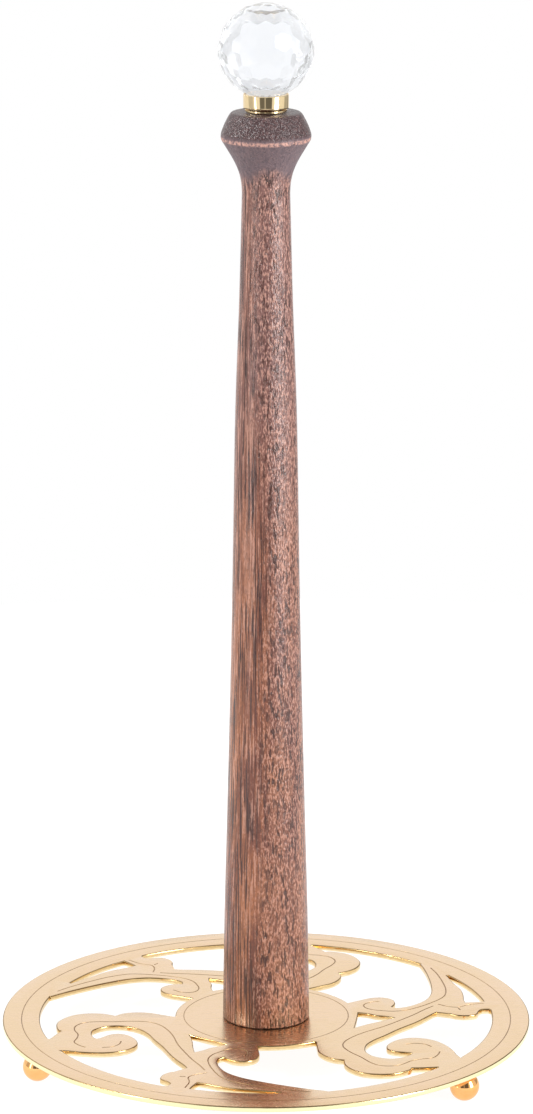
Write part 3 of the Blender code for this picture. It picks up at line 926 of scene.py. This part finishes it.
def make_world():
    """A white studio. Polished surfaces also find in it a dark ceiling, a dim band in front and
    narrow dark flags; through the crystal these are fainter."""
    world = bpy.data.worlds.new("studio")
    bpy.context.scene.world = world
    world.use_nodes = True
    graph = Graph(world.node_tree)
    x, y, z = graph.parts(graph.coordinates('Generated'))
    azimuth = graph.maths('ARCTAN2', x, 0.0 - y)

    def flag(middle, half, soft):
        """An upright dark strip with soft edges, placed in degrees to the right of the front."""
        away = abs(azimuth - math.radians(middle))
        return 1.0 - graph.rise(away, math.radians(half - soft), math.radians(half + soft))

    slit = flag(-5.0, 3.5, 1.5) * 0.22
    front = flag(-18.0, 14.0, 3.0) * 0.82 + flag(14.0, 17.0, 3.0) * 0.84 - slit
    left = flag(-84.0, 15.0, 4.0) * 0.35
    right = flag(121.0, 15.0, 4.0) * 0.50 + flag(144.0, 6.0, 1.5) * 0.80
    ceiling = graph.rise(z, 0.62, 0.84) * 0.35
    dark = graph.maths('MAXIMUM', front + (left + right), ceiling)
    rays = graph.node('ShaderNodeLightPath')
    mirrored = Value(graph, rays.outputs['Is Glossy Ray'])
    through = Value(graph, rays.outputs['Is Transmission Ray'])
    share = graph.maths('MAXIMUM', mirrored * (1.0 - through), through * 0.12)
    background = world.node_tree.nodes['Background']
    graph.feed(background.inputs['Color'], (1.0, 1.0, 1.0, 1.0))
    graph.feed(background.inputs['Strength'], 1.0 - share * dark)


def softbox(name, place, width, height, watts, target):
    """An area light aimed at a point on the post."""
    bpy.ops.object.light_add(type='AREA', location=place)
    light = bpy.context.object
    light.name = name
    light.data.shape = 'RECTANGLE'
    light.data.size = width
    light.data.size_y = height
    light.data.energy = watts
    aim = Vector(target) - Vector(place)
    light.rotation_euler = aim.to_track_quat('-Z', 'Y').to_euler()


def make_studio():
    make_world()
    softbox("softbox_left", (-0.80, -0.54, 0.12), 0.12, 1.5, 3.0, LOW_ON_POST)
    softbox("softbox_right", (0.83, -0.56, 0.12), 0.34, 1.5, 15.0, LOW_ON_POST)
    softbox("overhead_left", (-0.87, -0.17, 0.78), 0.20, 0.30, 9.0, COLLAR)
    softbox("overhead_right", (0.78, -0.36, 0.83), 0.14, 0.30, 4.5, COLLAR)
    bpy.ops.object.select_all(action='DESELECT')
    bpy.ops.mesh.primitive_circle_add(vertices=96, radius=0.6, fill_type='NGON',
                                      location=(0.0, 0.0, -0.02 * MM))
    floor = settle(added("studio_floor"))
    paint(floor, floor_white())
    bpy.ops.object.camera_add(location=CAMERA_PLACE, rotation=(CAMERA_TILT, 0.0, 0.0))
    camera = bpy.context.object
    camera.data.lens = CAMERA_LENS
    bpy.context.scene.camera = camera
    bpy.context.scene.view_settings.view_transform = 'Standard'


# ---------------------------------------------------------------- assembly

def fit(piece, body, node):
    """Puts a finished piece in a CAD node's stead."""
    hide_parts(node)
    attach(piece, body)


def build():
    """Makes every piece, puts it in its node's stead, and sets up the studio."""
    gold = pale_gold()
    foot_gold = warm_gold()
    steel = zinc_steel()
    threaded_brass = insert_brass()
    plate = make_scroll_plate(sheet_brass(), cut_brass(), edge_dark_reflection_brass(), groove_polish_and_shade_brass())
    fit(plate, "holder", "base_plate")
    for side in ("right", "left", "back"):
        node = "ball_foot_" + side
        fit(make_foot(node, foot_gold), "holder", node)
    fit(make_base_screw(steel), "holder", "base_screw")
    fit(make_lock_washer(steel), "holder", "base_lock_washer")
    fit(make_washer("base_flat_washer", "base_flat_washer_round", steel), "holder",
        "base_flat_washer")
    fit(make_insert("post_bottom_insert", "post_insert_lower", False, threaded_brass), "holder",
        "post_bottom_insert")
    fit(make_insert("post_top_insert", "post_insert_upper", True, threaded_brass), "holder",
        "post_top_insert")
    fit(make_post(lacquered_wood()), "holder", "turned_post")
    fit(make_washer("finial_seat_washer", "finial_seat_ring", gold), "finial_lift_ring",
        "finial_seat_washer")
    fit(make_ferrule(gold), "finial", "finial_ferrule")
    fit(make_stud(steel), "finial", "finial_stud")
    fit(make_crystal_ball(cut_crystal()), "finial", "crystal_ball")
    make_studio()


build()
